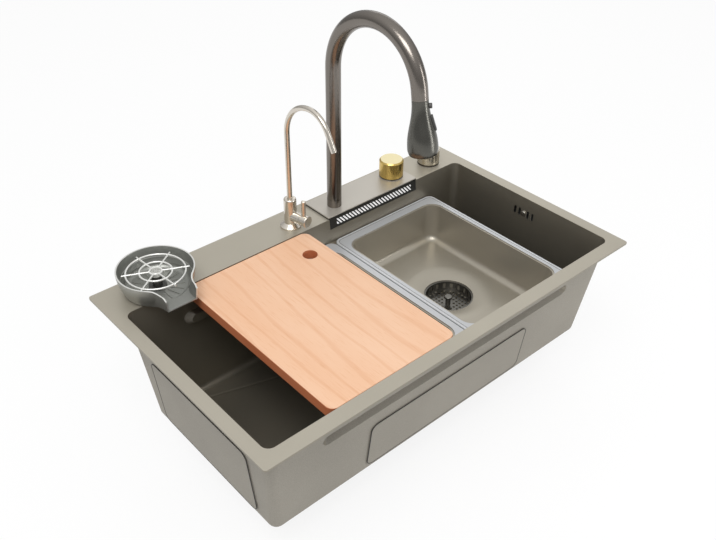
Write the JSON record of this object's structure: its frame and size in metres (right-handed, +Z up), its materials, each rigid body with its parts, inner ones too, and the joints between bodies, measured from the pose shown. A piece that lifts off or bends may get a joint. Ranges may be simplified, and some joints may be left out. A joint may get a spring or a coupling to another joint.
{
  "type": "workstation kitchen sink",
  "caption": "Drop-in workstation sink: one deep bowl with an accessory ledge, waterfall outlet, pull-out tap, drinking-water tap, cup rinser, cutting board and removable trays.",
  "frame": {"origin": "centre of the rim outline on the worktop plane, which is the underside of the rim", "axes": "+X along the sink to the user's right, +Y to the back ledge with the taps, +Z up"},
  "size_m": [0.75, 0.462, 0.6422],
  "materials": {
    "coated_steel": "warm grey coated steel, satin",
    "basin_steel": "brushed steel, satin",
    "grille_black": "black, satin",
    "white_plastic": "white, matt",
    "tap_gunmetal": "dark gunmetal, satin",
    "polished_nickel": "polished",
    "knob_brass": "polished, brushed top",
    "dark_ring": "dark, satin",
    "rinser_pewter": "pewter grey, satin",
    "beech": "oiled, matt",
    "pad_rubber": "sprayed over, matt",
    "seal_rubber": "matt",
    "fitting_brass": "turned",
    "fitting_plastic": "moulded, matt",
    "spray_plastic": "moulded, satin"
  },
  "bodies": {
    "sink": {"sink_bowl": "coated_steel", "deck_plate": "coated_steel", "drain_body": "coated_steel", "drain_tail": "coated_steel", "drain_sieve": "coated_steel", "overflow_screw": "coated_steel", "waterfall_chamber": "basin_steel", "waterfall_grille": "grille_black", "deck_base": "grille_black", "flow_straightener": "white_plastic", "spout_base": "tap_gunmetal", "filter_flange": "polished_nickel", "filter_body": "polished_nickel", "filter_barrel": "polished_nickel", "filter_cap": "polished_nickel", "rinser_nozzle": "polished_nickel", "mixer_ring": "dark_ring", "drain_knob_ring": "dark_ring", "rinser_body": "rinser_pewter", "sound_pads": "pad_rubber", "rim_seal": "seal_rubber", "spout_washer": "seal_rubber", "mixer_washer": "seal_rubber", "filter_washer": "seal_rubber", "rinser_washer": "seal_rubber", "drain_gasket": "seal_rubber", "overflow_gasket": "seal_rubber", "spout_shank": "fitting_brass", "spout_nut": "fitting_brass", "mixer_valve": "fitting_brass", "mixer_nut": "fitting_brass", "filter_shank": "fitting_brass", "filter_nut": "fitting_brass", "rinser_shank": "fitting_brass", "drain_control": "fitting_plastic", "drain_control_nut": "fitting_plastic", "rinser_nut": "fitting_plastic", "drain_nut": "fitting_plastic", "overflow_housing": "fitting_plastic"},
    "spout": {"spout": "tap_gunmetal"},
    "spray": {"spray_head": "tap_gunmetal", "spray_face": "spray_plastic", "spray_connector": "fitting_brass"},
    "spray_button": {"spray_button": "spray_plastic"},
    "spray_rocker": {"spray_rocker": "spray_plastic"},
    "mixer_knob": {"mixer_knob": "knob_brass"},
    "drain_knob": {"drain_knob": "polished_nickel"},
    "drain_plug": {"drain_plug": "coated_steel"},
    "filter_spout": {"filter_spout": "polished_nickel"},
    "filter_lever": {"filter_lever": "polished_nickel"},
    "rinser_grille": {"rinser_grille": "polished_nickel"},
    "board": {"cutting_board": "beech", "board_battens": "beech"},
    "drain_basket": {"drain_basket": "basin_steel"},
    "wash_basin": {"wash_basin": "basin_steel"},
    "basin_strainer": {"basin_strainer": "basin_steel", "strainer_handle": "basin_steel"}
  },
  "joints": [
    {"name": "spout_swivel", "type": "hinge", "parent": "sink", "child": "spout", "pos_m": [0.075, 0.179, 0.03], "axis": [0, 0, 1], "range_deg": [-40, 75]},
    {"name": "spray_pull", "type": "slide", "parent": "spout", "child": "spray", "axis": [0, -0.1478, -0.989], "range_m": [0, 0.1]},
    {"name": "spray_button_press", "type": "slide", "parent": "spray", "child": "spray_button", "axis": [-0.6961, 0.71, -0.1061], "range_m": [0, 0.0015], "stiffness_N_per_m": 600, "springref_m": -0.002},
    {"name": "spray_rocker_tilt", "type": "hinge", "parent": "spray", "child": "spray_rocker", "pos_m": [0.08596, -0.03246, 0.24333], "axis": [-0.7179, -0.6885, 0.1029], "range_deg": [-4, 4]},
    {"name": "mixer_turn", "type": "hinge", "parent": "sink", "child": "mixer_knob", "pos_m": [0.2215, 0.1897, 0.02], "axis": [0, 0, 1], "range_deg": [-60, 60]},
    {"name": "drain_turn", "type": "hinge", "parent": "sink", "child": "drain_knob", "pos_m": [0.3143, 0.1847, 0.015], "axis": [0, 0, 1], "range_deg": [0, 90]},
    {"name": "plug_lift", "type": "slide", "parent": "sink", "child": "drain_plug", "axis": [0, 0, 1], "range_m": [0, 0.0081]},
    {"name": "filter_swivel", "type": "hinge", "parent": "sink", "child": "filter_spout", "pos_m": [-0.0205, 0.1805, 0.05], "axis": [0, 0, 1], "range_deg": [-110, 65]},
    {"name": "filter_lever_turn", "type": "hinge", "parent": "sink", "child": "filter_lever", "pos_m": [-0.01441, 0.15184, 0.0248], "axis": [0.2079, -0.9781, 0], "range_deg": [0, 90]},
    {"name": "rinser_press", "type": "slide", "parent": "sink", "child": "rinser_grille", "axis": [0, 0, -1], "range_m": [0, 0.005], "stiffness_N_per_m": 400, "springref_m": -0.008},
    {"name": "board_slide", "type": "slide", "parent": "sink", "child": "board", "axis": [1, 0, 0], "range_m": [-0.045, 0.06]},
    {"name": "basket_slide", "type": "slide", "parent": "sink", "child": "drain_basket", "axis": [1, 0, 0], "range_m": [-0.06, 0]},
    {"name": "basin_lift", "type": "slide", "parent": "sink", "child": "wash_basin", "axis": [0, 0, 1], "range_m": [0, 0.12]},
    {"name": "strainer_lift", "type": "slide", "parent": "wash_basin", "child": "basin_strainer", "axis": [0, 0, 1], "range_m": [0, 0.03]}
  ],
  "couplings": [
    {"joint": "plug_lift", "follows": "drain_turn", "m_per_rad": 0.005093}
  ]
}
